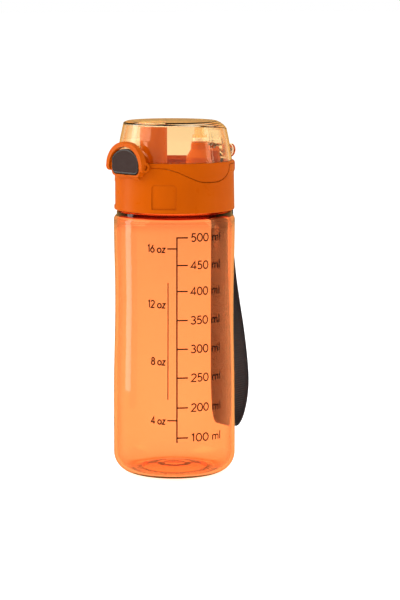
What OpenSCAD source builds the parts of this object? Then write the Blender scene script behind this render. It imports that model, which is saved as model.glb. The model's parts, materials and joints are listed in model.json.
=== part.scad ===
// Half-litre sports bottle: a clear body, a screw cap and a flip lid with a
// push button, a lock bail and a wrist strap. Millimetres. The base centre is
// the origin, +Z is up, the button faces -Y and the hinge faces +Y.

/* [Bottle] */
// Outer diameter of the straight wall
body_d = 72.5; // [72:0.1:72.8]
// Outer diameter at the waist
waist_d = 70.5; // [69:0.1:72]
// Height of the waist
waist_z = 105; // [90:1:120]
// Wall thickness of the body
body_wall = 1.7; // [1.6:0.1:2.4]
// Radius of the rounded base corner
base_corner_r = 12; // [8:0.5:14]
// Radius of the neck below its thread
neck_r = 28; // [27.5:0.1:28.2]

/* [Cap] */
// Radius of the cap at its lower edge
cap_r = 35.6; // [35.2:0.1:35.7]
// Radius of the cap and the lid frame where they meet
lid_r = 35; // [34.7:0.1:35.1]
// Height of the cap's lower edge
cap_z = 157.5; // [157.2:0.1:158.2]
// Lowest point of the wavy joint
wave_low = 175.2; // [175:0.1:176.2]
// Height of the joint at the front
wave_front = 183.7; // [182.7:0.1:183.8]
// Rise of the screw thread in one turn
thread_lead = 4; // [3.8:0.1:4.2]

/* [Lid] */
// Overall height of the bottle
total_h = 210; // [209.5:0.1:211]
// Radius of the dome at its lower edge
dome_r = 34.1; // [33.7:0.1:34.2]
// Wall thickness of the dome
dome_wall = 1.9; // [1.5:0.1:2]
// Distance of the hinge axis behind the centre
hinge_y = 35; // [34.8:0.1:35.2]
// Height of the hinge axis
hinge_z = 191.3; // [191.1:0.1:191.5]

/* [Button and bail] */
// Half width of the release button
button_w = 11.8; // [11.5:0.1:11.8]
// Inner radius of the lock bail
bail_in = 13.45; // [13.4:0.05:13.6]
// Outer radius of the lock bail
bail_out = 16.1; // [15.8:0.05:16.5]

/* [Strap] */
// Width of the webbing
strap_w = 15.5; // [14:0.5:17]
// Thickness of the webbing
strap_t = 1.3; // [1:0.1:1.4]

/* [Hidden] */

$fn = 96;

body_r = body_d / 2;
waist_r = waist_d / 2;
shoulder_r = 35.85;
shoulder_z = 151.5;
bead_r = 34.15;
bead_top = 156.6;
neck_in = 25.8;
neck_top = 176.2;
thread_z = 163.2;

sleeve_in = 29.9;
sleeve_out = 31.6;
skirt_in = 33;
deck_low = 178.2;
deck_top = 180;
collar_top = 180.6;
rear_top = 184.8;
wave_gap = 0.35;
frame_top = 186.5;
frame_in = 33.15;

spout_y = -16;
spout_r = 7.9;
spout_top = 206.9;
vent_y = 20;

riser_w = 7;
barrel_r = 3.8;
ear_r = 4.2;
ear_w = 10.6;

bail_y = -36;
bail_z = 184.4;
trunnion_r = 1.5;
rocker_y = -36.6;
rocker_z = 186.6;
button_face = -38;
button_t = 1.3;
spring_z = 181.4;
spring_back = -34;
pocket_w = button_w + 0.25;
housing_w = 13.1;

bar_y = 36.2;
bar_z = 183.6;
bar_r = 1.1;
pin_r = 1.5;
button_pin_r = 0.7;
run_gap = 0.05;

body_orange = [1, 0.5, 0.12, 0.55];
cap_orange = [0.93, 0.4, 0.03];

// ---------- Helpers ----------

// Points of an arc about c, from angle a0 to a1 in n steps
function arc(c, r, a0, a1, n) =
    [for (i = [0:n]) let (a = a0 + (a1 - a0) * i / n) c + r * [cos(a), sin(a)]];

// A smooth step from 1 at t = 0 to 0 at t = 1
function ease(t) = (1 + cos(180 * t)) / 2;

module tube(r_out, r_in, z0, z1) {
    translate([0, 0, z0]) difference() {
        cylinder(r = r_out, h = z1 - z0);
        translate([0, 0, -1]) cylinder(r = r_in, h = z1 - z0 + 2);
    }
}

// Extrudes a (Y, Z) outline along X, from x0 to x1
module along_x(x0, x1) {
    translate([x0, 0, 0]) rotate([90, 0, 90]) linear_extrude(x1 - x0) children();
}

// The same outline on both sides, from x0 to x1 and mirrored
module both_sides(x0, x1) {
    along_x(x0, x1) children();
    along_x(-x1, -x0) children();
}

// Extrudes an (X, Z) outline along Y, from y0 to y1
module along_y(y0, y1) {
    translate([0, y1, 0]) rotate([90, 0, 0]) linear_extrude(y1 - y0) children();
}

// A cylinder along X, centred on (y, z)
module rod_x(y, z, r, x0, x1) {
    translate([x0, y, z]) rotate([0, 90, 0]) cylinder(r = r, h = x1 - x0);
}

// Joins equal rings of points, in order, into one closed solid
module skin(rings) {
    n = len(rings[0]);
    last = len(rings) - 1;
    sides = [for (i = [0:last - 1], j = [0:n - 1])
        let (k = (j + 1) % n)
        [i * n + j, i * n + k, (i + 1) * n + k, (i + 1) * n + j]];
    polyhedron(
        points = [for (ring = rings, p = ring) p],
        faces = concat([[for (j = [n - 1:-1:0]) j]], sides, [[for (j = [0:n - 1]) last * n + j]])
    );
}

function unit(v) = v / norm(v);

// Rings of n points, of radius r, round a wire that follows path
function wire_rings(path, r, side, n) =
    [for (i = [0:len(path) - 1])
        let (t = unit(path[min(i + 1, len(path) - 1)] - path[max(i - 1, 0)]),
             u = unit(cross(t, side)), v = cross(t, u))
        [for (j = [0:n - 1]) path[i] + r * (cos(360 * j / n) * u + sin(360 * j / n) * v)]];

// One ridge of the screw thread. It fades in and out over its first and last steps.
module thread(root, crest, root_half, crest_half, z0, turns) {
    steps = 32;
    n = round(turns * steps);
    skin([for (i = [0:n])
        let (a = 360 * i / steps, z = z0 + thread_lead * i / steps,
             grow = max(0.12, min(1, i / 5, (n - i) / 5)),
             r = root + (crest - root) * grow, s = sign(root - crest))
        [for (p = [[root, -root_half], [root, root_half], [r, crest_half], [r, -crest_half]])
            [p.x * cos(a), p.x * sin(a), z + s * p.y]]]);
}

// ---------- Bottle ----------

// Outer radius of the body's wall at height z
function wall_r(z) =
    z < waist_z
        ? waist_r + (body_r - waist_r) * ease(max(0, (z - 45) / (waist_z - 45)))
        : shoulder_r + (waist_r - shoulder_r) * ease((z - waist_z) / (shoulder_z - waist_z));

wall_heights = [for (z = [45:6:148]) z];

module bottle_body() {
    corner = [body_r - base_corner_r, base_corner_r];
    outside = concat(
        [[18.5, 0]],
        arc(corner, base_corner_r, -90, 0, 12),
        [for (z = wall_heights) [wall_r(z), z]],
        arc([shoulder_r - 3.5, shoulder_z], 3.5, 0, 59, 5),
        [[bead_r, bead_top - 0.4], [bead_r - 0.4, bead_top], [neck_r + 0.6, bead_top],
         [neck_r, bead_top + 0.6], [neck_r, neck_top - 0.8], [neck_r - 0.6, neck_top]]
    );
    inside = concat(
        [[neck_in + 0.4, neck_top], [neck_in, neck_top - 0.5], [neck_in, 156.5]],
        [[26.3, 155.4], [27.2, 154.9], [32, 154.8], [32.5, 154.2], [33.3, 152.9], [34, 151.2]],
        [for (i = [len(wall_heights) - 1:-1:0])
            [wall_r(wall_heights[i]) - body_wall, wall_heights[i]]],
        arc(corner, base_corner_r - body_wall, 0, -62, 8),
        [[27.5, 2.5], [25.4, 2.5], [23, 2.85], [20, 3.6], [17, 4.2], [14, 4.6], [7, 5.2], [0, 5.4]]
    );
    pushed_up = [[0, 2.8], [5.6, 2.6], [6, 2.1], [7, 2.1], [7.4, 2.5], [14, 1.9], [17.5, 0.9]];
    color(body_orange) union() {
        rotate_extrude() polygon(concat(outside, inside, pushed_up));
        thread(neck_r - 0.8, neck_r + 1.4, 1.5, 0.7, thread_z, 1.5);
    }
}

module neck_gasket() {
    color("white") tube(28.9, neck_in + 0.1, neck_top + 0.05, deck_low - 0.05);
}

// ---------- Cap ----------

// The wavy joint between cap and lid as (Y, Z) points, raised by gap for the lid's side
function wave(gap) = concat(
    [[-60, wave_front + gap]],
    [for (i = [0:12]) let (t = i / 12)
        [-30.3 + 24.8 * t, wave_low + gap + (wave_front - wave_low) * ease(t)]],
    [for (i = [0:9]) let (a = 10 * i)
        [(15.4 - gap) * sin(a), rear_top - (rear_top - wave_low - gap) * cos(a)]],
    [[60, rear_top + (gap > 0 ? gap : 0)]]
);

module above_wave(gap) {
    along_x(-50, 50) polygon(concat(wave(gap), [[60, 230], [-60, 230]]));
}

module below_wave(gap) {
    points = wave(gap);
    ends = [[15.4 - gap, rear_top + gap], [60, rear_top + gap], [60, 100], [-60, 100]];
    along_x(-50, 50) polygon(concat([for (i = [0:len(points) - 2]) points[i]], ends));
}

// A plain panel with a rounded top, cut to depth into the skirt at angle a from the front
module panel_cut(a, depth) {
    w = 7.2;
    r = 2.5;
    rotate([0, 0, a]) intersection() {
        along_y(-40, -20) union() {
            translate([-w, 160]) square([2 * w, 174.2 - 160 - r]);
            translate([-w + r, 168.2]) square([2 * (w - r), 6]);
            for (s = [-1, 1]) translate([s * (w - r), 174.2 - r]) circle(r);
        }
        tube(40, cap_r - depth, 158.2, 178.2);
    }
}

module skirt() {
    difference() {
        rotate_extrude() polygon([
            [skirt_in, cap_z + 0.3], [skirt_in + 0.3, cap_z], [cap_r - 0.8, cap_z],
            [cap_r - 0.24, cap_z + 0.24], [cap_r, cap_z + 0.8], [lid_r, 188.2], [skirt_in, 188.2],
            [skirt_in, 174], [sleeve_out + 0.1, 174], [sleeve_out + 0.1, 172.2], [skirt_in, 172.2]
        ]);
        above_wave(0);
        for (a = [-39, 39]) panel_cut(a, 0.55);
        translate([-9.2, 20, 174.4]) cube([18.4, 30, 20]);
    }
}

// The (X, Z) outline of the button's housing, smaller by inset
module housing_outline(inset, top) {
    w = housing_w - inset;
    low = 178.6 + inset;
    r = 4 - inset / 2;
    intersection() {
        union() {
            translate([-w, low + r]) square([2 * w, top - low - r]);
            translate([-w + r, low]) square([2 * (w - r), r + 1]);
            for (s = [-1, 1]) translate([s * (w - r), low + r]) circle(r);
        }
        translate([0, bail_z]) scale([1, 0.845]) circle(housing_w);
    }
}

module button_housing() {
    difference() {
        union() {
            along_y(-37.6, -35.3) housing_outline(0, 187.8);
            intersection() {
                along_y(-37.6, -33.4) housing_outline(0, 187.8);
                translate([-20, -50, 168.2]) cube([40, 30, 15]);
            }
            intersection() {
                along_x(-9, 9) polygon([[-33.4, 175.8], [-36.8, 179.2], [-33.4, 180.2]]);
                translate([-20, -50, 168.2]) cube([40, 30, 15]);
            }
            for (s = [-1, 1]) {
                rod_x(bail_y, bail_z, trunnion_r, s * 13.9 - 1.25, s * 13.9 + 1.25);
            }
        }
        along_y(-50, -35.75) housing_outline(housing_w - pocket_w, 190.2);
        translate([-10.6, -40, 184.9]) cube([21.2, 10, 10]);
        rod_x(rocker_y, rocker_z, button_pin_r, -14, 14);
    }
}

// The (Y, Z) outline of one strap lug at the back
module lug_outline() {
    polygon([[33.2, 171.4], [34.4, 171.4], [38.2, 179.9], [38.2, bar_z], [34.2, bar_z], [33.2, 182.4]]);
    translate([bar_y, bar_z]) circle(2);
}

module cap_shell() {
    color(cap_orange) difference() {
        union() {
            skirt();
            button_housing();
            both_sides(9.2, 11.2) lug_outline();
        }
        rod_x(bar_y, bar_z, bar_r, -12, 12);
        translate([0, spring_back, spring_z]) rotate([90, 0, 0]) cylinder(r = 2.1, h = 5);
    }
}

// The riser behind the lid that holds the hinge pin
module hinge_riser() {
    difference() {
        along_x(-riser_w, riser_w) union() {
            polygon([
                [28.7, deck_top - 1], [31.4, deck_top - 1], [31.4, 185.3], [33.6, 187.6],
                [hinge_y, hinge_z], [31.6, 192.6], [28.7, 190.4]
            ]);
            translate([hinge_y, hinge_z]) circle(barrel_r);
        }
        rod_x(hinge_y, hinge_z, pin_r, -10, 10);
        translate([-2.6, 31.2, 187.3]) cube([5.2, 10, 12]);
        translate([-2.6, 26, 191.8]) cube([5.2, 8, 6]);
    }
}

module inner_cap() {
    color(cap_orange) union() {
        difference() {
            union() {
                tube(sleeve_out, sleeve_in, 158.2, collar_top);
                tube(skirt_in - 0.2, sleeve_out - 0.5, 170.7, 172.2);
                translate([0, 0, deck_low]) cylinder(r = sleeve_out - 0.5, h = deck_top - deck_low);
            }
            translate([0, spout_y, deck_low - 1]) cylinder(r = spout_r + run_gap, h = 6);
            translate([0, vent_y, deck_low - 1]) cylinder(r = 2, h = 6);
            translate([-9.2, 31.2, 173]) cube([18.4, 5, 20]);
        }
        hinge_riser();
        thread(sleeve_in + 0.7, neck_r + 0.5, 1.4, 0.6, thread_z - 0.5 * thread_lead, 1.75);
    }
}

module drinking_spout() {
    color(cap_orange) translate([0, spout_y, 0]) rotate_extrude() polygon([
        [6.3, 176], [9.1, 176], [9.3, 176.2], [9.3, 177.4], [spout_r, 177.4],
        [spout_r, spout_top - 0.9], [7.55, spout_top - 0.25], [7.1, spout_top],
        [6.7, spout_top], [6.3, spout_top - 0.4]
    ]);
}

module spout_gasket() {
    color("white") translate([0, spout_y, 0]) tube(9.2, spout_r + 0.1, 177.4, deck_low);
}

module vent_tower() {
    color(cap_orange) translate([0, vent_y, 0]) rotate_extrude() polygon([
        [1.4, deck_top], [8, deck_top], [8, 186.8], [7.6, 187.6], [5.8, 190.6],
        [5.3, 191.6], [5.1, 194.8], [4.6, 195.8], [1.4, 195.8]
    ]);
}

module vent_valve() {
    color("white") translate([0, vent_y, 0]) rotate_extrude() polygon([
        [0, 176.8], [3.2, 177], [4.2, 177.6], [4.3, deck_low], [1.9, deck_low],
        [1.9, deck_top], [0.6, deck_top], [0.6, 178.6], [0, 178.6]
    ]);
}

module hinge_pin() {
    color("silver") rod_x(hinge_y, hinge_z, pin_r, -ear_w + 0.2, ear_w - 0.2);
}

// A torsion spring round the hinge pin. One end bears on the riser, the other inside the dome.
module lid_spring() {
    wire = 0.35;
    r = 2.4;
    turns = 4;
    steps = 14;
    coil = [for (i = [0:turns * steps])
        [-1.9 + 3.8 * i / (turns * steps),
         hinge_y - r * cos(360 * i / steps), hinge_z - r * sin(360 * i / steps)]];
    low_end = [[-1.9, 32, 187.9], [-1.9, 32.2, 189.3]];
    high_end = [[1.9, 31.6, 192.4], [1.9, 30.2, 193], [1.9, 28.8, 194.6], [1.9, 28.5, 202]];
    color("silver") skin(wire_rings(concat(low_end, coil, high_end), wire, [1, 0, 0], 6));
}

module strap_bar() {
    color("silver") rod_x(bar_y, bar_z, bar_r, -11.2, 11.2);
}

// ---------- Button and bail ----------

module button_pin() {
    color("silver") rod_x(rocker_y, rocker_z, button_pin_r, -12.3, 12.3);
}

// The coil behind the button's lower half, along Y
module button_spring() {
    wire = 0.25;
    steps = 12;
    turns = 3;
    front = button_face + button_t + wire + 0.02;
    back = spring_back - wire - 0.02;
    path = [for (i = [0:turns * steps])
        [1.5 * cos(360 * i / steps), front + (back - front) * i / (turns * steps),
         spring_z + 1.5 * sin(360 * i / steps)]];
    color("silver") skin(wire_rings(path, wire, [0, 1, 0], 6));
}

// The (X, Z) outline of the button: a flattened arch over rounded lower corners
module button_outline() {
    r = 3.5;
    low = 180;
    intersection() {
        union() {
            translate([-button_w, low + r]) square([2 * button_w, 15]);
            translate([-button_w + r, low]) square([2 * (button_w - r), r + 1]);
            for (s = [-1, 1]) translate([s * (button_w - r), low + r]) circle(r);
        }
        translate([0, 179]) circle(15.5);
    }
}

// A rocker: its lower half is pressed and the hook at its top back swings out
module release_button() {
    color("dimgray") difference() {
        union() {
            along_y(button_face, button_face + button_t) button_outline();
            rod_x(rocker_y, rocker_z, 1.35, -10.2, 10.2);
            intersection() {
                along_y(button_face + 0.5, -35.45) button_outline();
                translate([-6, -40, 193.3]) cube([12, 10, 3]);
            }
        }
        rod_x(rocker_y, rocker_z, button_pin_r + run_gap, -14, 14);
    }
}

// The (X, Z) outline of the bail's arch
module bail_arch() {
    difference() {
        union() {
            translate([0, bail_z]) scale([1, 0.89]) circle(bail_out);
            translate([-bail_out, bail_z - 5]) square([2 * bail_out, 5]);
        }
        translate([0, bail_z]) scale([1, 0.845]) circle(bail_in);
        translate([-bail_in, bail_z - 20]) square([2 * bail_in, 20]);
    }
}

module lock_bail() {
    color(cap_orange) difference() {
        intersection() {
            along_y(-42, -30) bail_arch();
            union() {
                rod_x(bail_y, bail_z, 3, -20, 20);
                along_x(-20, 20) polygon([
                    [bail_y - 2.8, bail_z - 1], [-38.9, 188.2], [-38.6, 197.6], [-37.8, 199],
                    [-36, 199], [-35.4, 198], [-35.4, 187.2], [bail_y + 0.9, bail_z - 1]
                ]);
            }
        }
        rod_x(bail_y, bail_z, trunnion_r + run_gap, -20, 20);
    }
}

// ---------- Lid ----------

module lid_frame() {
    color(cap_orange) difference() {
        union() {
            difference() {
                union() {
                    tube(lid_r, frame_in, 168.2, frame_top);
                    tube(lid_r, 31.9, 185.2, frame_top);
                }
                below_wave(wave_gap);
            }
            tube(skirt_in - 0.15, 31.9, 183.9, 185.4);
        }
        translate([-11.6, 20, 180]) cube([23.2, 20, 20]);
    }
}

// The dome's solid, smaller all round by inset. Its back corner is rounder than its front.
module dome_solid(inset) {
    top = total_h - inset;
    r = dome_r - inset;
    base = inset > 0 ? frame_top - 1 : frame_top;
    corner = 1.5 - inset / 4;
    back_corner = 11 - inset;
    intersection() {
        rotate_extrude() polygon(concat(
            [[0, base], [r, base], [r - 2, 199]],
            arc([r - 4 - corner, top - 0.3 - corner], corner, 8, 86, 7),
            [[0, top]]
        ));
        translate([0, -2, 0]) rotate_extrude() polygon(concat(
            [[0, base - 1], [r + 2.2, base - 1]],
            arc([r - back_corner, top + 0.2 - back_corner], back_corner, 0, 90, 9),
            [[0, top + 0.2]]
        ));
    }
}

// A lip on the dome's front wall, from z0 to z1
module front_lip(half_w, z0, z1) {
    translate([-half_w, -34.9, z0]) cube([2 * half_w, 34.9 - 31.6, z1 - z0]);
}

module dome_ears() {
    intersection() {
        both_sides(riser_w + 0.3, ear_w) union() {
            translate([hinge_y, hinge_z]) circle(ear_r);
            polygon([[30, 187.6], [33, 187.4], [33, 196.5], [31.4, 200.5], [30, 200.5]]);
        }
        translate([-20, 30.4, 180]) cube([40, 20, 30]);
    }
}

module lid_dome() {
    color([1, 0.6, 0.25, 0.4]) difference() {
        union() {
            difference() {
                dome_solid(0);
                dome_solid(dome_wall);
            }
            dome_ears();
            front_lip(6, 191.4, 192.9);
            front_lip(7, 194.9, 196.5);
            translate([0, vent_y, 199.6]) cylinder(r = 4.2, h = 1.8);
            translate([0, vent_y, 201.2]) cylinder(r = 3, h = 7.8);
        }
        translate([-riser_w - 0.25, 20, 180]) cube([2 * riser_w + 0.5, 20, hinge_z + 2 - 180]);
        rod_x(hinge_y, hinge_z, barrel_r + 0.5, -riser_w - 0.25, riser_w + 0.25);
        rod_x(hinge_y, hinge_z, pin_r + run_gap, -15, 15);
    }
}

module spout_plug() {
    color("white") translate([0, spout_y, 0]) rotate_extrude() polygon([
        [0, 203.6], [5, 203.6], [5.4, 204], [6, spout_top + 0.2], [7.6, spout_top + 0.2],
        [7.6, total_h - dome_wall], [0, total_h - dome_wall]
    ]);
}

module vent_plug() {
    color("white") translate([0, vent_y, 0]) rotate_extrude() polygon([
        [0, 196], [3.4, 196], [3.7, 196.3], [3.7, 199.3], [3.4, 199.6], [0, 199.6]
    ]);
}

// ---------- Strap ----------

// The webbing's centre line as (Y, Z) points, down the inner leg and up the outer one
strap_line = [
    [36.2, 185.55], [34.85, 185], [34.25, 183.6], [34.6, 180.3], [35.9, 176.3], [36.9, 171.3],
    [37.5, 165], [37.7, 150], [37.7, 125], [37.7, 100], [37.7, 75], [37.75, 56],
    [38.2, 42], [39.2, 31], [41.1, 25], [43.7, 23], [46.7, 24.6], [49.8, 30], [52.3, 39],
    [53.3, 50], [52.1, 64], [49.2, 82], [45.5, 100], [42.5, 116], [40.5, 132], [39.5, 148],
    [39, 160], [38.7, 172.3], [38.3, 180.3], [38.1, 183.6], [37.55, 185]
];

// A closed smooth curve through the points, with n steps for each span
function loop(points, n) =
    [for (i = [0:len(points) - 1], j = [0:n - 1])
        let (c = len(points), t = j / n,
             a = points[(i + c - 1) % c], b = points[i],
             d = points[(i + 1) % c], e = points[(i + 2) % c])
        0.5 * (2 * b + (d - a) * t + (2 * a - 5 * b + 4 * d - e) * t * t
            + (3 * b - a - 3 * d + e) * t * t * t)];

// The curve moved sideways by d, to its left when d is positive
function beside(points, d) =
    [for (i = [0:len(points) - 1])
        let (c = len(points), t = unit(points[(i + 1) % c] - points[(i + c - 1) % c]))
        points[i] + d * [-t.y, t.x]];

module wrist_strap() {
    line = loop(strap_line, 3);
    color([0.13, 0.13, 0.16]) along_x(-strap_w / 2, strap_w / 2) difference() {
        polygon(beside(line, -strap_t / 2));
        polygon(beside(line, strap_t / 2));
    }
}

bottle_body();
neck_gasket();
cap_shell();
inner_cap();
drinking_spout();
spout_gasket();
vent_tower();
vent_valve();
hinge_pin();
lid_spring();
strap_bar();
button_pin();
button_spring();
release_button();
lock_bail();
lid_frame();
lid_dome();
spout_plug();
vent_plug();
wrist_strap();
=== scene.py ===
import json
import math

import bmesh
import bpy
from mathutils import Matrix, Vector


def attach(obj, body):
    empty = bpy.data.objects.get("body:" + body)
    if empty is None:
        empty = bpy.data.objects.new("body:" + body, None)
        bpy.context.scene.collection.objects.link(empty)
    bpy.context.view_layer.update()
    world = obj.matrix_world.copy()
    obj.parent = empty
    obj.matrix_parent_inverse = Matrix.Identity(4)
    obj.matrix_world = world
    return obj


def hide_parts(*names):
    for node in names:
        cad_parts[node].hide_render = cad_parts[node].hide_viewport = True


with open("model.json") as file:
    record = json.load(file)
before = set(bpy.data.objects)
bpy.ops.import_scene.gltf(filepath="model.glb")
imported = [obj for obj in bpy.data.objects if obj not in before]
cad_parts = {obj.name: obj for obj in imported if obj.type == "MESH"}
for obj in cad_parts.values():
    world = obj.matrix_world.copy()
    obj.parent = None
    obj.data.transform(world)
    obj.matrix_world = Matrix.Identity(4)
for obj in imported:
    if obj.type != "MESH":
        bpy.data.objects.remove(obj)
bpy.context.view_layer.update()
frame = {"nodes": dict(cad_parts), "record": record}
nodes = frame["nodes"]

MM = 0.001

# The camera: the photograph's direction and distance
VIEW_AZIMUTH = math.radians(49)
VIEW_ELEVATION = math.radians(7.6)
VIEW_DISTANCE = 1.35
VIEW_HEIGHT = 0.357
AIM_Z = 0.103
SHIFT_X = 0.0427
SENSOR_MM = 24

# The studio: how high the lamps aim, and the floor's half width and glow
LAMP_AIM_Z = 0.12
FLOOR_HALF = 30
FLOOR_GLOW = 0.62

# The body's outline, as in part.scad, in millimetres
BODY_R = 36.25
STRAIGHT_TOP = 45
WAIST_R = 35.25
WAIST_Z = 105
SHOULDER_R = 35.85
SHOULDER_Z = 151.5
SHOULDER_ROUND = 3.5
BODY_WALL = 1.7
BASE_CORNER_R = 12
BEAD_R = 34.15
BEAD_TOP = 156.6
NECK_R = 28
NECK_IN = 25.8
NECK_TOP = 176.2
THREAD_Z = 163.2
THREAD_LEAD = 4
THREAD_TURNS = 1.5
THREAD_RISE = 1.4
THREAD_HALF_FOOT = 1.21
THREAD_FLANK = 0.51
THREAD_FADES_PER_TURN = 6.4
BASE_UNDER = 2.8
BASE_TOP = 5.4
BODY_SEGMENTS = 192
# The neck is moulded thicker above this height, and is given a darker red there: painted shade under the cap,
# together with the deeper colour of the thicker glass
SHADED_NECK_Z = 154

# The strap, and the (Y, Z) line that its middle follows, up the inner leg and down the outer one
STRAP_W = 15.5
STRAP_T = 1.3
STRAP_LINE = [
    (36.2, 185.55), (34.85, 185), (34.25, 183.6), (34.6, 180.3), (35.9, 176.3), (36.9, 171.3),
    (37.5, 165), (37.7, 150), (37.7, 125), (37.7, 100), (37.7, 75), (37.75, 56),
    (38.2, 42), (39.2, 31), (41.1, 25), (43.7, 23), (46.7, 24.6), (49.8, 30), (52.3, 39),
    (53.3, 50), (52.1, 64), (49.2, 82), (45.5, 100), (42.5, 116), (40.5, 132), (39.5, 148),
    (39, 160), (38.7, 172.3), (38.3, 180.3), (38.1, 183.6), (37.55, 185),
]

# Its woven ribs
RIB_COUNT = 300
RIB_DEPTH = 0.16
RINGS_PER_RIB = 4
RIB_PINCH = 0.012

# Its sewn tail, as heights and half sizes, and how far out from the leg's face the tail's middle lies
TAIL_LOW = 149.7
TAIL_HIGH = 171.2
TAIL_RINGS = 76
TAIL_HALF_W = 7.4
TAIL_HALF_T = 0.42
TAIL_RIB_DEPTH = 0.1
TAIL_OUT = 0.4

# The stitches, on the tail's face, with the box that they follow as (X, Z)
STITCH_OUT = 0.74
STITCH_LENGTH = 2.15
STITCH_CORNERS = ((-5.9, 151.8), (5.9, 151.8), (5.9, 169.1), (-5.9, 169.1))
STITCH_HALF_WIDTHS = (0.05, 0.2, 0.24, 0.2, 0.05)
STITCH_SIDES = 6


# ---------- Mesh helpers ----------

def ease(t):
    return (1 + math.cos(math.pi * t)) / 2


def arc(cx, cy, r, a0, a1, n):
    turns = [math.radians(a0 + (a1 - a0) * i / n) for i in range(n + 1)]
    return [(cx + r * math.cos(a), cy + r * math.sin(a)) for a in turns]


def mesh_object(name, points, faces, body, sharp=35):
    """A closed mesh from points in millimetres, smooth except along edges sharper than sharp degrees."""
    mesh = bpy.data.meshes.new(name)
    mesh.from_pydata([[c * MM for c in p] for p in points], [], faces)
    made = bmesh.new()
    made.from_mesh(mesh)
    bmesh.ops.recalc_face_normals(made, faces=made.faces)
    made.to_mesh(mesh)
    made.free()
    mesh.shade_smooth()
    mesh.set_sharp_from_angle(angle=math.radians(sharp))
    piece = bpy.data.objects.new(name, mesh)
    bpy.context.scene.collection.objects.link(piece)
    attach(piece, body)
    return piece


def ring_faces(rings, count, closed):
    """Quads between equal rings of count points, numbered one ring after another."""
    faces = []
    for i in range(rings if closed else rings - 1):
        a, b = i * count, (i + 1) % rings * count
        for j in range(count):
            k = (j + 1) % count
            faces.append((a + j, a + k, b + k, b + j))
    return faces


def wall_r(z):
    """The body's outer radius at height z."""
    if z < WAIST_Z:
        return WAIST_R + (BODY_R - WAIST_R) * ease(max(0, (z - STRAIGHT_TOP) / (WAIST_Z - STRAIGHT_TOP)))
    return SHOULDER_R + (WAIST_R - SHOULDER_R) * ease((z - WAIST_Z) / (SHOULDER_Z - WAIST_Z))


# ---------- Bottle body ----------

def thread_height(turn, z):
    """How far the screw thread stands out of the neck at an angle, in turns, and a height."""
    height = 0
    for whole in range(2):
        along = turn + whole
        if along > THREAD_TURNS:
            continue
        ends = min(along, THREAD_TURNS - along) * THREAD_FADES_PER_TURN
        off = abs(z - THREAD_Z - THREAD_LEAD * along)
        ridge = min(1, max(0, (THREAD_HALF_FOOT - off) / THREAD_FLANK))
        height = max(height, THREAD_RISE * min(1, ends) * ridge)
    return height


def body_profile():
    """Two lists of (radius, height, whether on the threaded neck). The first runs from the foot ring out, up,
    over the lip and down inside, and the second from the middle of the underside to the foot ring."""
    heights = [STRAIGHT_TOP + 2.5 * i for i in range(42)]
    outside = [(18.5, 0.25), (18.8, 0.06), (19.3, 0)]
    outside += arc(BODY_R - BASE_CORNER_R, BASE_CORNER_R, BASE_CORNER_R, -90, 0, 24)
    outside += [(BODY_R, 20), (BODY_R, 30), (BODY_R, 40)]
    outside += [(wall_r(z), z) for z in heights]
    outside += arc(SHOULDER_R - SHOULDER_ROUND, SHOULDER_Z, SHOULDER_ROUND, 0, 59, 8)
    outside += arc(BEAD_R - 0.5, BEAD_TOP - 0.5, 0.5, 0, 90, 4)
    outside += [(NECK_R + 0.6, BEAD_TOP), (NECK_R + 0.18, BEAD_TOP + 0.18), (NECK_R, BEAD_TOP + 0.6)]
    neck = [(NECK_R, 159.2 + 0.4 * i) for i in range(32)]
    lip = arc(NECK_R - 0.7, NECK_TOP - 0.7, 0.7, 0, 90, 5)
    lip += arc(NECK_IN + 0.5, NECK_TOP - 0.5, 0.5, 90, 180, 4)
    inside = [(NECK_IN, 168), (NECK_IN, 158), (NECK_IN, 156.5), (25.95, 155.9), (26.3, 155.4)]
    inside += [(26.7, 155.05), (27.2, 154.9), (31.7, 154.8), (32.2, 154.6), (32.5, 154.2)]
    inside += [(33.3, 152.9), (33.8, 151.9), (34, 151.2)]
    inside += [(wall_r(z) - BODY_WALL, z) for z in reversed(heights)]
    inside += [(BODY_R - BODY_WALL, 30), (BODY_R - BODY_WALL, 20)]
    inside += arc(BODY_R - BASE_CORNER_R, BASE_CORNER_R, BASE_CORNER_R - BODY_WALL, 0, -62, 16)
    inside += [(27.5, 2.5), (25.4, 2.5), (23, 2.85), (20, 3.6), (17, 4.2), (14, 4.6), (7, 5.2), (3, 5.35)]
    under = [(3, 2.7), (5.4, 2.6), (5.8, 2.4), (6, 2.15), (7, 2.1), (7.3, 2.3), (7.6, 2.5)]
    under += [(10.8, 2.25), (14, 1.9), (17.5, 0.9), (18.2, 0.5)]
    rows = [(r, z, False) for r, z in outside]
    rows += [(r, z, True) for r, z in neck]
    rows += [(r, z, False) for r, z in lip + inside]
    return rows, [(r, z, False) for r, z in under]


def make_body():
    rows, under = body_profile()
    points = []
    for r, z, threaded in under + rows:
        for j in range(BODY_SEGMENTS):
            turn = j / BODY_SEGMENTS
            out = r + (thread_height(turn, z) if threaded else 0)
            angle = 2 * math.pi * turn
            points.append((out * math.cos(angle), out * math.sin(angle), z))
    count = len(under) + len(rows)
    faces = ring_faces(count, BODY_SEGMENTS, False)
    below, above = len(points), len(points) + 1
    points += [(0, 0, BASE_UNDER), (0, 0, BASE_TOP)]
    last = (count - 1) * BODY_SEGMENTS
    for j in range(BODY_SEGMENTS):
        k = (j + 1) % BODY_SEGMENTS
        faces.append((below, k, j))
        faces.append((above, last + j, last + k))
    body = mesh_object("body_shell", points, faces, "bottle", sharp=55)
    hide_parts("bottle_body")
    return body


# ---------- Strap ----------

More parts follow.
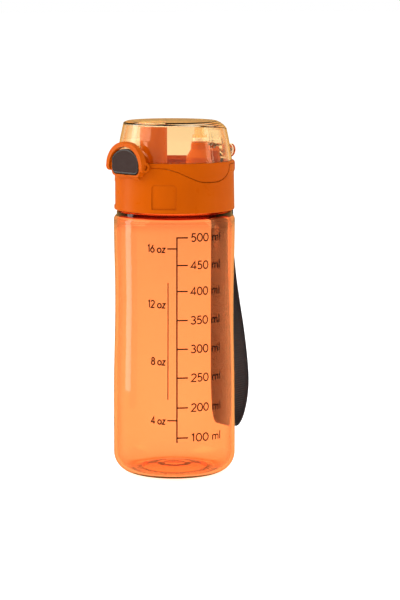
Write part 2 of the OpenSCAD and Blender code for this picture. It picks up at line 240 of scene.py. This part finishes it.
def loop(points, n):
    """A closed smooth curve through the points, with n steps for each span, as in part.scad."""
    count = len(points)
    line = []
    for i in range(count):
        a, b = Vector(points[i - 1]), Vector(points[i])
        d, e = Vector(points[(i + 1) % count]), Vector(points[(i + 2) % count])
        for j in range(n):
            t = j / n
            bend = (2 * a - 5 * b + 4 * d - e) * t * t
            turn = (3 * b - a - 3 * d + e) * t * t * t
            line.append(0.5 * (2 * b + (d - a) * t + bend + turn))
    return line


def even_loop(line, count):
    """count points spaced evenly along a closed line, and the line's length."""
    ends = line + [line[0]]
    marks = [0]
    for a, b in zip(ends, ends[1:]):
        marks.append(marks[-1] + (b - a).length)
    spaced = []
    span = 0
    for i in range(count):
        at = marks[-1] * i / count
        while marks[span + 1] < at:
            span += 1
        t = (at - marks[span]) / (marks[span + 1] - marks[span])
        spaced.append(ends[span].lerp(ends[span + 1], t))
    return spaced, marks[-1]


def web_section(half_w, half_t, pinch):
    """A webbing's (across, through) cross-section: flat faces with round woven edges."""
    r = half_t
    side = arc(half_w - r, 0, r, 80, -80, 6)
    face = [(x, -half_t) for x in (half_w * 0.6, 0, -half_w * 0.6)]
    half = side + face
    other = [(-x, -y) for x, y in half]
    return [(x * (1 - pinch), y) for x, y in half + other]


def rib_valley(ring):
    """How deep a ring of the webbing lies between two ribs, from 0 on a rib to 1."""
    return (1 - math.cos(2 * math.pi * ring / RINGS_PER_RIB)) / 2


def make_strap():
    line, length = even_loop(loop(STRAP_LINE, 12), RIB_COUNT * RINGS_PER_RIB)
    rings = []
    for i, at in enumerate(line):
        along = (line[(i + 1) % len(line)] - line[i - 1]).normalized()
        normal = Vector((-along.y, along.x))
        valley = rib_valley(i)
        section = web_section(STRAP_W / 2, STRAP_T / 2 - RIB_DEPTH * valley, RIB_PINCH * valley)
        for x, y in section:
            spot = at + normal * y
            rings.append((x, spot.x, spot.y))
    count = len(rings) // len(line)
    faces = ring_faces(len(line), count, True)
    strap = mesh_object("strap_webbing", rings, faces, "strap", sharp=180)
    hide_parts("wrist_strap")
    return strap, length


def outer_leg(z):
    """How far behind the centre the strap's outer leg hangs at height z, near its top."""
    leg = [p for p in STRAP_LINE if p[0] > 38.05 and p[1] > 130]
    for (y0, z0), (y1, z1) in zip(leg, leg[1:]):
        if z0 <= z <= z1:
            return y0 + (y1 - y0) * (z - z0) / (z1 - z0)
    return leg[-1][0]


def make_strap_tail():
    """The end of the webbing, folded back and sewn to the outer leg."""
    rings = []
    for i in range(TAIL_RINGS + 1):
        z = TAIL_LOW + (TAIL_HIGH - TAIL_LOW) * i / TAIL_RINGS
        closing = min(1, 0.45 + 0.55 * min(i, TAIL_RINGS - i) / 3)
        valley = rib_valley(i)
        half_t = (TAIL_HALF_T - TAIL_RIB_DEPTH * valley) * closing
        y = outer_leg(z) + STRAP_T / 2 + TAIL_OUT
        for x, across in web_section(TAIL_HALF_W, half_t, RIB_PINCH * valley):
            rings.append((x, y + across, z))
    per = len(rings) // (TAIL_RINGS + 1)
    faces = ring_faces(TAIL_RINGS + 1, per, False)
    faces.append(tuple(range(per - 1, -1, -1)))
    faces.append(tuple(range(TAIL_RINGS * per, (TAIL_RINGS + 1) * per)))
    return mesh_object("strap_tail", rings, faces, "strap", sharp=180)


def stitch(points, faces, a, b):
    """Adds one stitch of thread, a slim pointed bead from a to b, as (X, Z), on the tail's outer face."""
    along = (b - a).normalized()
    side = Vector((-along.y, along.x))
    start = len(points)
    last = len(STITCH_HALF_WIDTHS) - 1
    for i, half in enumerate(STITCH_HALF_WIDTHS):
        at = a.lerp(b, i / last)
        rise = 0.02 + 0.9 * half
        for j in range(STITCH_SIDES):
            turn = 2 * math.pi * j / STITCH_SIDES
            spot = at + side * half * math.cos(turn)
            face_y = outer_leg(spot.y) + STRAP_T / 2 + STITCH_OUT
            points.append((spot.x, face_y + rise * 0.5 * (1 + math.sin(turn)), spot.y))
    faces += [tuple(start + n for n in f) for f in ring_faces(last + 1, STITCH_SIDES, False)]
    faces.append(tuple(start + j for j in range(STITCH_SIDES - 1, -1, -1)))
    faces.append(tuple(start + last * STITCH_SIDES + j for j in range(STITCH_SIDES)))


def make_stitches():
    """The box and cross that sew the tail down, on its outer face."""
    corners = [Vector(c) for c in STITCH_CORNERS]
    runs = list(zip(corners, corners[1:] + corners[:1]))
    runs += [(corners[0], corners[2]), (corners[1], corners[3])]
    points, faces = [], []
    for a, b in runs:
        count = max(2, round((b - a).length / STITCH_LENGTH))
        for i in range(count):
            stitch(points, faces, a.lerp(b, (i + 0.08) / count), a.lerp(b, (i + 0.9) / count))
    return mesh_object("strap_stitches", points, faces, "strap", sharp=180)


# ---------- Button rim, painted shade ---

BUTTON_W = 11.8
BUTTON_LOW = 180
BUTTON_CORNER = 3.5
BUTTON_TOP_R = 15.5
BUTTON_TOP_Z = 179
BUTTON_FACE = -38
RIM_PROUD = 0.06
# The rim's cross-section as (inwards from the edge, behind the face)
RIM_SECTION = (
    (0.0, 0.55), (0.02, 0.2), (0.12, 0.02), (0.3, -0.06),
    (0.95, -0.06), (1.2, 0.02), (1.3, 0.12), (1.3, 0.55),
)


def button_outline(inset):
    """The button's outline as (X, Z) in order, as in part.scad, smaller by inset."""
    w, r, top_r = BUTTON_W - inset, BUTTON_CORNER - inset, BUTTON_TOP_R - inset
    low = BUTTON_LOW + BUTTON_CORNER
    points = arc(-BUTTON_W + BUTTON_CORNER, low, r, 180, 270, 6)
    points += arc(BUTTON_W - BUTTON_CORNER, low, r, 270, 360, 6)
    side = math.degrees(math.acos(w / top_r))
    points += arc(0, BUTTON_TOP_Z, top_r, side, 180 - side, 30)
    return points


def make_button_shade_rim():
    """A glossy black bead round the button's edge, standing in for the dark gap round the button: painted
    shade.
    """
    outlines = []
    for inset, deep in RIM_SECTION:
        outlines.append([(x, BUTTON_FACE + deep, z) for x, z in button_outline(inset - RIM_PROUD)])
    count = len(outlines[0])
    points = [outline[i] for i in range(count) for outline in outlines]
    faces = ring_faces(count, len(RIM_SECTION), True)
    return mesh_object("button_shade_rim", points, faces, "button", sharp=60)


# ---------- Scale print ----------

# The print's middle, in degrees round from the front, how far out from the wall its ink's middle layer is,
# half the ink's thickness, and a letter's stroke width
PRINT_TURN = 49
INK_R = 0.07
INK_T = 0.02
STROKE = 0.74


def on_wall(s, z, out):
    """The point s millimetres round the wall from the print's middle, at height z and out from the wall."""
    turn = math.radians(PRINT_TURN) + s / BODY_R
    r = wall_r(z) + out
    return (r * math.sin(turn), -r * math.cos(turn), z)


def bar_print(points, faces, s0, s1, z0, z1):
    """Adds a printed bar from s0 to s1 and z0 to z1, as a thin curved plate."""
    cols = max(1, round(abs(s1 - s0) / 1.2))
    rows = max(1, round(abs(z1 - z0) / 4))
    start = len(points)
    for out in (INK_R - INK_T, INK_R + INK_T):
        for i in range(cols + 1):
            for j in range(rows + 1):
                points.append(on_wall(s0 + (s1 - s0) * i / cols, z0 + (z1 - z0) * j / rows, out))
    layer = (cols + 1) * (rows + 1)
    for level, flip in ((0, True), (layer, False)):
        for i in range(cols):
            for j in range(rows):
                a = start + level + i * (rows + 1) + j
                quad = (a, a + rows + 1, a + rows + 2, a + 1)
                faces.append(tuple(reversed(quad)) if flip else quad)
    edge = [i * (rows + 1) for i in range(cols + 1)]
    edge += [cols * (rows + 1) + j for j in range(1, rows + 1)]
    edge += [i * (rows + 1) + rows for i in range(cols - 1, -1, -1)]
    edge += list(range(rows - 1, 0, -1))
    for a, b in zip(edge, edge[1:] + edge[:1]):
        faces.append((start + a, start + b, start + layer + b, start + layer + a))


def turn_of(cx, cy, rx, ry, a0, a1, n=10):
    """Points of an elliptic stroke round (cx, cy), from a0 to a1 degrees."""
    turns = [math.radians(a0 + (a1 - a0) * i / n) for i in range(n + 1)]
    return [(cx + rx * math.cos(a), cy + ry * math.sin(a)) for a in turns]


# Each character as (advance, strokes), with the digits' height as 1
GLYPHS = {
    "0": (0.66, [turn_of(0.33, 0.5, 0.255, 0.445, 0, 360, 24)]),
    "1": (0.42, [[(0.09, 0.79), (0.26, 0.945), (0.26, 0.055)]]),
    "2": (0.62, [turn_of(0.3, 0.7, 0.225, 0.245, 165, -40, 12) + [(0.07, 0.055), (0.55, 0.055)]]),
    "3": (0.60, [turn_of(0.27, 0.725, 0.2, 0.22, 150, -90, 12),
                 turn_of(0.27, 0.28, 0.235, 0.225, 90, -155, 14)]),
    "4": (0.66, [[(0.44, 0.055), (0.44, 0.945), (0.05, 0.28), (0.6, 0.28)]]),
    "5": (0.60, [[(0.49, 0.945), (0.17, 0.945), (0.12, 0.55)]
                 + turn_of(0.27, 0.335, 0.235, 0.28, 120, -140, 14)]),
    "6": (0.62, [[(0.42, 0.945), (0.12, 0.46)] + turn_of(0.31, 0.32, 0.24, 0.265, 150, 510, 22)]),
    "8": (0.60, [turn_of(0.29, 0.73, 0.18, 0.215, -90, 270, 20),
                 turn_of(0.29, 0.285, 0.235, 0.23, 90, 450, 22)]),
    "m": (0.80, [[(0.1, 0.0), (0.1, 0.62)], turn_of(0.25, 0.42, 0.15, 0.19, 180, 0) + [(0.4, 0.0)],
                 turn_of(0.55, 0.42, 0.15, 0.19, 180, 0) + [(0.7, 0.0)]]),
    "l": (0.22, [[(0.1, 0.0), (0.1, 1.0)]]),
    "o": (0.68, [turn_of(0.34, 0.31, 0.25, 0.27, 0, 360, 22)]),
    "z": (0.52, [[(0.07, 0.58), (0.45, 0.58), (0.06, 0.04), (0.47, 0.04)]]),
    " ": (0.28, []),
}


def stroke(points, faces, line, s0, z0, wide, tall, half):
    """Adds one printed stroke along line, as a flat ribbon with mitred turns, half its width each side."""
    spots = [Vector((s0 + x * wide, z0 + y * tall)) for x, y in line]
    closed = (spots[0] - spots[-1]).length < 0.01
    if closed:
        spots.pop()
    count = len(spots)
    start = len(points)
    for i, at in enumerate(spots):
        before = spots[i - 1] if i or closed else at - (spots[1] - at)
        after = spots[(i + 1) % count] if i + 1 < count or closed else at + (at - before)
        first, second = (at - before).normalized(), (after - at).normalized()
        across = first + second
        across = Vector((-across.y, across.x)).normalized()
        reach = half / max(0.45, across.dot(Vector((-first.y, first.x))))
        for side, out in ((1, INK_T), (-1, INK_T), (-1, -INK_T), (1, -INK_T)):
            spot = at + across * reach * side
            points.append(on_wall(spot.x, spot.y, INK_R + out))
    faces += [tuple(start + n for n in f) for f in ring_faces(count, 4, closed)]
    if not closed:
        last = start + 4 * (count - 1)
        faces.append((start + 3, start + 2, start + 1, start))
        faces.append((last, last + 1, last + 2, last + 3))


def label(points, faces, words, s0, s1, z_mid, height):
    """Adds words between s0 and s1, centred on z_mid, with capitals and digits of that height."""
    total = sum(GLYPHS[letter][0] for letter in words)
    wide = (s1 - s0) / total
    at = s0
    for letter in words:
        advance, strokes = GLYPHS[letter]
        for line in strokes:
            stroke(points, faces, line, at, z_mid - height / 2, wide, height, STROKE / 2)
        at += advance * wide


# The scale's lines as (s0, s1, z0, z1), and where its ticks and words start and end round the wall
MAIN_LINE = (1.1, 1.9, 23.6, 144.3)
SIDE_LINE = (-4.05, -3.5, 49.1, 117.6)
TICK_HALF = 0.4
ML_TICK = (1.9, 8.0)
ML_DIGITS = (9.7, 21.4)
ML_UNIT = (23.4, 30.8)
OZ_TICK = (-4.2, 1.1)
OZ_END = -5.2
DIGITS_HIGH = 5.0
UNIT_HIGH = 4.9
OZ_HIGH = 4.7
# Each millilitre mark's digits and height
ML_MARKS = (
    ("500", 143.9), ("450", 127.8), ("400", 112.6), ("350", 95.6),
    ("300", 78.8), ("250", 61.9), ("200", 44.3), ("100", 26.5),
)
# Each ounce mark's words, start, height and whether it has a tick
OZ_MARKS = (
    ("16 oz", -16.4, 137.5, True), ("12 oz", -16.4, 105.1, False),
    ("8 oz", -14.0, 71.7, False), ("4 oz", -14.0, 36.8, True),
)


def tick(points, faces, ends, z):
    bar_print(points, faces, *ends, z - TICK_HALF, z + TICK_HALF)


def make_print():
    points, faces = [], []
    bar_print(points, faces, *MAIN_LINE)
    bar_print(points, faces, *SIDE_LINE)
    for digits, z in ML_MARKS:
        tick(points, faces, ML_TICK, z)
        label(points, faces, digits, *ML_DIGITS, z, DIGITS_HIGH)
        label(points, faces, "ml", *ML_UNIT, z, UNIT_HIGH)
    for words, start, z, ticked in OZ_MARKS:
        label(points, faces, words, start, OZ_END, z, OZ_HIGH)
        if ticked:
            tick(points, faces, OZ_TICK, z)
    return mesh_object("scale_print", points, faces, "bottle", sharp=30)


# ---------- Materials ----------

def new_material(name, colour, roughness):
    material = bpy.data.materials.new(name)
    material.use_nodes = True
    tree = material.node_tree
    shader = tree.nodes["Principled BSDF"]
    shader.inputs["Base Color"].default_value = (*colour, 1)
    shader.inputs["Roughness"].default_value = roughness
    return material, tree, shader


def add(tree, kind, **values):
    """A node of that kind. A value named like an input, with _ for a space, sets it, or else a property."""
    node = tree.nodes.new(kind)
    for key, value in values.items():
        socket = key.replace("_", " ").title()
        if socket in node.inputs:
            node.inputs[socket].default_value = value
        else:
            setattr(node, key, value)
    return node


def noise(tree, scale, detail=2.0, stretch=(1, 1, 1)):
    """Noise in the object's own space, with scale in cycles per metre."""
    place = add(tree, "ShaderNodeTexCoord")
    squeeze = add(tree, "ShaderNodeMapping")
    squeeze.inputs["Scale"].default_value = stretch
    made = add(tree, "ShaderNodeTexNoise", scale=scale, detail=detail)
    tree.links.new(place.outputs["Object"], squeeze.inputs["Vector"])
    tree.links.new(squeeze.outputs["Vector"], made.inputs["Vector"])
    return made.outputs["Fac"]


def span(tree, source, low, high, start=0.3, end=0.7):
    """source, from start to end, as a number from low to high."""
    made = add(tree, "ShaderNodeMapRange")
    for name, value in (("From Min", start), ("From Max", end), ("To Min", low), ("To Max", high)):
        made.inputs[name].default_value = value
    tree.links.new(source, made.inputs["Value"])
    return made.outputs["Result"]


# Where a Mix node keeps its colour sockets, whose names its other kinds share
MIX_FACTOR = 0
MIX_FIRST = 6
MIX_SECOND = 7
MIX_COLOUR = 2


def blend_colour(tree, factor, first, second):
    """The colour from first, at factor 0, to second, at factor 1."""
    made = add(tree, "ShaderNodeMix", data_type="RGBA")
    made.inputs[MIX_FIRST].default_value = (*first, 1)
    made.inputs[MIX_SECOND].default_value = (*second, 1)
    tree.links.new(factor, made.inputs[MIX_FACTOR])
    return made.outputs[MIX_COLOUR]


def bump(tree, shader, source, depth, strength=1.0, edge=0.0):
    """A bump of depth millimetres from source, over edges rounded to edge millimetres."""
    made = add(tree, "ShaderNodeBump")
    made.inputs["Strength"].default_value = strength
    made.inputs["Distance"].default_value = depth * MM
    tree.links.new(source, made.inputs["Height"])
    if edge:
        rounding = add(tree, "ShaderNodeBevel", samples=4)
        rounding.inputs["Radius"].default_value = edge * MM
        tree.links.new(rounding.outputs["Normal"], made.inputs["Normal"])
    tree.links.new(made.outputs["Normal"], shader.inputs["Normal"])


def orange_plastic(name, low, high):
    """Semi-gloss moulded plastic, between two near shades, with a fine grain and slight handling marks."""
    material, tree, shader = new_material(name, low, 0.32)
    broad = noise(tree, 42, 3)
    colour = blend_colour(tree, span(tree, broad, 0, 1), low, high)
    tree.links.new(colour, shader.inputs["Base Color"])
    fine = noise(tree, 2600, 2)
    worn = noise(tree, 130, 4)
    tree.links.new(span(tree, worn, 0.26, 0.40), shader.inputs["Roughness"])
    bump(tree, shader, fine, 0.012, 0.5, edge=0.35)
    shader.inputs["Specular IOR Level"].default_value = 0.2
    shader.inputs["Specular Tint"].default_value = (1, 0.6, 0.16, 1)
    return material


def clear_plastic(name, tint, rim, absorbing, density, roughness):
    """Glass-like plastic, deeper in colour where it is seen edge-on, partly for the longer path through the
    wall and partly as painted shade for the dark rims that refraction gives. Lamps shine through it.
    """
    material, tree, shader = new_material(name, tint, roughness)
    # Edge-on the colour deepens: partly the longer path through the wall, partly painted shade on the rims
    slant = add(tree, "ShaderNodeLayerWeight", blend=0.5)
    edge_on = span(tree, slant.outputs["Facing"], 0, 1, 0.5, 0.75)
    tree.links.new(blend_colour(tree, edge_on, tint, rim), shader.inputs["Base Color"])
    shader.inputs["Transmission Weight"].default_value = 1
    shader.inputs["IOR"].default_value = 1.52
    flow = noise(tree, 60, 3, (1, 1, 0.25))
    tree.links.new(span(tree, flow, roughness * 0.6, roughness * 1.6), shader.inputs["Roughness"])
    bump(tree, shader, noise(tree, 28, 2, (1, 1, 0.3)), 0.05, 0.35)
    through = add(tree, "ShaderNodeBsdfTransparent")
    path = add(tree, "ShaderNodeLightPath")
    pick = add(tree, "ShaderNodeMixShader")
    output = tree.nodes["Material Output"]
    tree.links.new(path.outputs["Is Shadow Ray"], pick.inputs[0])
    tree.links.new(shader.outputs[0], pick.inputs[1])
    tree.links.new(through.outputs[0], pick.inputs[2])
    tree.links.new(pick.outputs[0], output.inputs["Surface"])
    depth = add(tree, "ShaderNodeVolumeAbsorption")
    depth.inputs["Color"].default_value = (*absorbing, 1)
    depth.inputs["Density"].default_value = density
    tree.links.new(depth.outputs[0], output.inputs["Volume"])
    return material


def grey_plastic():
    """The button's satin dark grey, with a fine moulded grain."""
    material, tree, shader = new_material("button_grey", (0.036, 0.02, 0.018), 0.5)
    shader.inputs["Specular IOR Level"].default_value = 0.15
    speck = noise(tree, 1900, 3)
    colour = blend_colour(tree, span(tree, speck, 0, 1), (0.032, 0.017, 0.015), (0.041, 0.024, 0.021))
    tree.links.new(colour, shader.inputs["Base Color"])
    tree.links.new(span(tree, noise(tree, 300, 3), 0.42, 0.58), shader.inputs["Roughness"])
    bump(tree, shader, speck, 0.03, 0.6, edge=0.35)
    return material


def shade_rim_black():
    """The rim's polished black, slightly rubbed: the black of the painted shade round the button."""
    material, tree, shader = new_material("shade_rim_black", (0.012, 0.008, 0.007), 0.2)
    rub = noise(tree, 500, 3)
    colour = blend_colour(tree, span(tree, rub, 0, 1), (0.009, 0.006, 0.005), (0.018, 0.013, 0.012))
    tree.links.new(colour, shader.inputs["Base Color"])
    tree.links.new(span(tree, rub, 0.14, 0.3), shader.inputs["Roughness"])
    return material


def silicone():
    """Translucent white silicone."""
    material, tree, shader = new_material("white_silicone", (0.85, 0.82, 0.76), 0.45)
    shader.inputs["Subsurface Weight"].default_value = 0.3
    shader.inputs["Subsurface Scale"].default_value = 0.002
    soft = noise(tree, 180, 3)
    colour = blend_colour(tree, span(tree, soft, 0, 1), (0.82, 0.79, 0.73), (0.88, 0.86, 0.81))
    tree.links.new(colour, shader.inputs["Base Color"])
    tree.links.new(span(tree, soft, 0.38, 0.55), shader.inputs["Roughness"])
    bump(tree, shader, noise(tree, 1500, 2), 0.01, 0.4, edge=0.2)
    return material


def steel():
    """Drawn stainless steel, streaked along the pins."""
    material, tree, shader = new_material("steel", (0.62, 0.61, 0.6), 0.3)
    shader.inputs["Metallic"].default_value = 1
    drawn = noise(tree, 900, 4, (0.08, 1, 1))
    colour = blend_colour(tree, span(tree, drawn, 0, 1), (0.54, 0.53, 0.52), (0.68, 0.67, 0.66))
    tree.links.new(colour, shader.inputs["Base Color"])
    tree.links.new(span(tree, drawn, 0.2, 0.42), shader.inputs["Roughness"])
    bump(tree, shader, drawn, 0.01, 0.5)
    return material


# Warp yarns along each metre of the texture's own space
YARNS = 420


def webbing():
    """Woven tape: yarns along it, broken up by fibres, with a soft sheen."""
    material, tree, shader = new_material("webbing", (0.013, 0.013, 0.018), 0.75)
    place = add(tree, "ShaderNodeTexCoord")
    warp = add(tree, "ShaderNodeTexWave", scale=1.0, distortion=0.6, detail=1.0)
    warp.bands_direction = "X"
    squeeze = add(tree, "ShaderNodeMapping")
    squeeze.inputs["Scale"].default_value = (YARNS, YARNS, YARNS)
    tree.links.new(place.outputs["Object"], squeeze.inputs["Vector"])
    tree.links.new(squeeze.outputs["Vector"], warp.inputs["Vector"])
    fibre = noise(tree, 2400, 4)
    mixed = add(tree, "ShaderNodeMath", operation="MULTIPLY_ADD")
    tree.links.new(fibre, mixed.inputs[0])
    mixed.inputs[1].default_value = 0.6
    tree.links.new(warp.outputs["Fac"], mixed.inputs[2])
    colour = blend_colour(tree, span(tree, mixed.outputs[0], 0, 1, 0.2, 1.3),
                          (0.009, 0.009, 0.013), (0.024, 0.024, 0.031))
    tree.links.new(colour, shader.inputs["Base Color"])
    shader.inputs["Sheen Weight"].default_value = 0.25
    shader.inputs["Sheen Roughness"].default_value = 0.5
    bump(tree, shader, mixed.outputs[0], 0.09, 0.8)
    return material


def ink():
    """The scale's dark brown ink, slightly rubbed."""
    material, tree, shader = new_material("scale_ink", (0.012, 0.005, 0.003), 0.5)
    shader.inputs["Specular IOR Level"].default_value = 0.1
    rub = noise(tree, 1400, 3)
    colour = blend_colour(tree, span(tree, rub, 0, 1), (0.008, 0.003, 0.002), (0.018, 0.008, 0.005))
    tree.links.new(colour, shader.inputs["Base Color"])
    tree.links.new(span(tree, rub, 0.45, 0.62), shader.inputs["Roughness"])
    return material


def paint(piece, material):
    """Makes material the piece's only one."""
    piece.data.materials.clear()
    piece.data.materials.append(material)


def paint_neck_shade(body, material):
    """Gives the neck, above the shoulder, its own darker red material: painted shade under the cap."""
    body.data.materials.append(material)
    for face in body.data.polygons:
        face.material_index = int(face.center.z > SHADED_NECK_Z * MM)


# ---------- Studio ----------

def floor_material():
    """A plain white that also glows a little, so that it meets the white backdrop without a line."""
    material, tree, shader = new_material("floor_white", (0.93, 0.93, 0.93), 0.9)
    shade = noise(tree, 3, 2)
    colour = blend_colour(tree, span(tree, shade, 0, 1), (0.925, 0.925, 0.925), (0.935, 0.935, 0.935))
    tree.links.new(colour, shader.inputs["Base Color"])
    shader.inputs["Specular IOR Level"].default_value = 0.0
    shader.inputs["Emission Color"].default_value = (1, 1, 1, 1)
    shader.inputs["Emission Strength"].default_value = FLOOR_GLOW
    return material


def make_floor():
    mesh = bpy.data.meshes.new("floor")
    corners = [(x * FLOOR_HALF, y * FLOOR_HALF, 0) for x, y in ((-1, -1), (1, -1), (1, 1), (-1, 1))]
    mesh.from_pydata(corners, [], [(0, 1, 2, 3)])
    floor = bpy.data.objects.new("floor", mesh)
    bpy.context.scene.collection.objects.link(floor)
    paint(floor, floor_material())
    floor.visible_glossy = False


def view_direction(azimuth, elevation):
    """The unit vector towards a place at azimuth, turned from the front to the right, and elevation."""
    flat = math.cos(elevation)
    return Vector((math.sin(azimuth) * flat, -math.cos(azimuth) * flat, math.sin(elevation)))


def make_camera():
    data = bpy.data.cameras.new("camera")
    data.sensor_fit = "VERTICAL"
    data.sensor_height = SENSOR_MM
    data.lens = SENSOR_MM * VIEW_DISTANCE / VIEW_HEIGHT
    data.shift_x = SHIFT_X
    camera = bpy.data.objects.new("camera", data)
    bpy.context.scene.collection.objects.link(camera)
    away = view_direction(VIEW_AZIMUTH, VIEW_ELEVATION)
    camera.location = Vector((0, 0, AIM_Z)) + away * VIEW_DISTANCE
    camera.rotation_euler = away.to_track_quat("Z", "Y").to_euler()
    bpy.context.scene.camera = camera


def soft_lamp(name, turn, elevation, distance, size, power, mirrored):
    """An area lamp, turn degrees to the right of the camera's direction, aimed at the bottle."""
    data = bpy.data.lights.new(name, "AREA")
    data.shape = "RECTANGLE"
    data.size, data.size_y = size
    data.energy = power
    lamp = bpy.data.objects.new(name, data)
    lamp.visible_glossy = mirrored
    bpy.context.scene.collection.objects.link(lamp)
    away = view_direction(VIEW_AZIMUTH + math.radians(turn), math.radians(elevation))
    lamp.location = Vector((0, 0, LAMP_AIM_Z)) + away * distance
    lamp.rotation_euler = away.to_track_quat("Z", "Y").to_euler()


# How bright the world is as a lamp, and in reflections from the front and from behind
WORLD_LIGHT = 0.45
DIM_FRONT = 0.05
BRIGHT_BACK = 0.6
ROOM_COLOUR = (1, 0.58, 0.22)


def background(tree, strength):
    made = add(tree, "ShaderNodeBackground")
    made.inputs["Color"].default_value = (1, 1, 1, 1)
    made.inputs["Strength"].default_value = strength
    return made


def chosen(tree, factor, first, second):
    made = add(tree, "ShaderNodeMixShader")
    for socket, source in zip(made.inputs, (factor, first, second)):
        tree.links.new(source, socket)
    return made.outputs[0]


def mirrored_room(tree):
    """What reflections see: a warm backdrop behind and below the bottle, and a dim room in front."""
    place = add(tree, "ShaderNodeTexCoord")
    facing = add(tree, "ShaderNodeVectorMath", operation="DOT_PRODUCT")
    tree.links.new(place.outputs["Generated"], facing.inputs[0])
    facing.inputs[1].default_value = Vector((0, 0, -0.6)) - 0.8 * view_direction(VIEW_AZIMUTH, 0)
    room = background(tree, 1.0)
    room.inputs["Color"].default_value = (*ROOM_COLOUR, 1)
    bright = span(tree, facing.outputs["Value"], DIM_FRONT, BRIGHT_BACK, 0.0, 0.6)
    tree.links.new(bright, room.inputs["Strength"])
    return room.outputs[0]


def make_world():
    """A white studio: white to look at and through, softer as a lamp, and dim in front in reflections."""
    world = bpy.data.worlds.new("studio")
    world.use_nodes = True
    tree = world.node_tree
    path = add(tree, "ShaderNodeLightPath")
    straight = add(tree, "ShaderNodeMath", operation="SUBTRACT", use_clamp=True)
    tree.links.new(path.outputs["Is Glossy Ray"], straight.inputs[0])
    tree.links.new(path.outputs["Is Transmission Ray"], straight.inputs[1])
    white = background(tree, 1.0).outputs[0]
    lamp = background(tree, WORLD_LIGHT).outputs[0]
    seen = chosen(tree, path.outputs["Is Diffuse Ray"], white, lamp)
    sky = chosen(tree, straight.outputs[0], seen, mirrored_room(tree))
    tree.links.new(sky, tree.nodes["World Output"].inputs["Surface"])
    bpy.context.scene.world = world


# Each lamp's name, turn and elevation in degrees, distance, size, power and whether reflections show it
LAMPS = (
    ("key_left", -75, 35, 1.6, (0.9, 1.4), 16, False),
    ("strip_left", -98, 12, 1.5, (0.42, 1.3), 4, True),
    ("fill_right", 80, 25, 1.8, (0.6, 1.4), 8, False),
    ("top", 10, 80, 1.6, (1.4, 1.4), 8, False),
)


def make_lights():
    make_world()
    for lamp in LAMPS:
        soft_lamp(*lamp)


# ---------- Build ----------

make_camera()
make_lights()
make_floor()

body_shell = make_body()
strap_webbing, strap_length = make_strap()
strap_tail = make_strap_tail()
strap_stitches = make_stitches()
scale_print = make_print()
# The black rim round the button is painted shade for the gap there
button_shade_rim = make_button_shade_rim()

ORANGE = orange_plastic("orange_plastic", (0.50, 0.076, 0.0), (0.54, 0.085, 0.0))
# A lighter copy of the orange for the parts under the lid: painted light, making up for the dimmer, tinted
# light that reaches them
LIT_INNER_ORANGE = orange_plastic("orange_inner_painted_light", (0.53, 0.1, 0.0), (0.57, 0.112, 0.0))
# The second colour of each clear plastic is its edge-on colour, which is partly painted shade on the rims
CLEAR_BODY = clear_plastic("clear_body", (1, 0.565, 0.35), (0.9, 0.27, 0.06), (0.995, 0.65, 0.2), 210, 0.03)
# The neck's darker red is painted shade under the cap, with the thicker glass's deeper colour
CLEAR_NECK_SHADED = clear_plastic("clear_neck_painted_shade", (1, 0.3, 0.12), (0.9, 0.09, 0.02), (0.995, 0.65, 0.2), 210, 0.03)
CLEAR_LID = clear_plastic("clear_lid", (1, 0.85, 0.6), (0.95, 0.3, 0.03), (0.998, 0.7, 0.3), 60, 0.02)
SILICONE = silicone()
STEEL = steel()
WEBBING = webbing()
GREY = grey_plastic()
INK = ink()

FINISHES = {
    "orange_plastic": ORANGE, "clear_body": CLEAR_BODY, "clear_lid": CLEAR_LID,
    "white_silicone": SILICONE, "steel": STEEL, "webbing": WEBBING, "button_grey": GREY,
}
for row in frame["record"]["subparts"]:
    paint(nodes[row["node"]], FINISHES[row["material_slot"]])
# The parts under the lid take the lighter copy of the orange, which is painted light
for name in ("drinking_spout", "vent_tower", "inner_cap"):
    paint(nodes[name], LIT_INNER_ORANGE)
for piece in (strap_webbing, strap_tail, strap_stitches):
    paint(piece, WEBBING)
paint(body_shell, CLEAR_BODY)
# The neck above the shoulder gets the darker red of painted shade under the cap
paint_neck_shade(body_shell, CLEAR_NECK_SHADED)
paint(scale_print, INK)
# The rim's black is painted shade round the button
paint(button_shade_rim, shade_rim_black())

bpy.context.scene.view_settings.view_transform = "Standard"
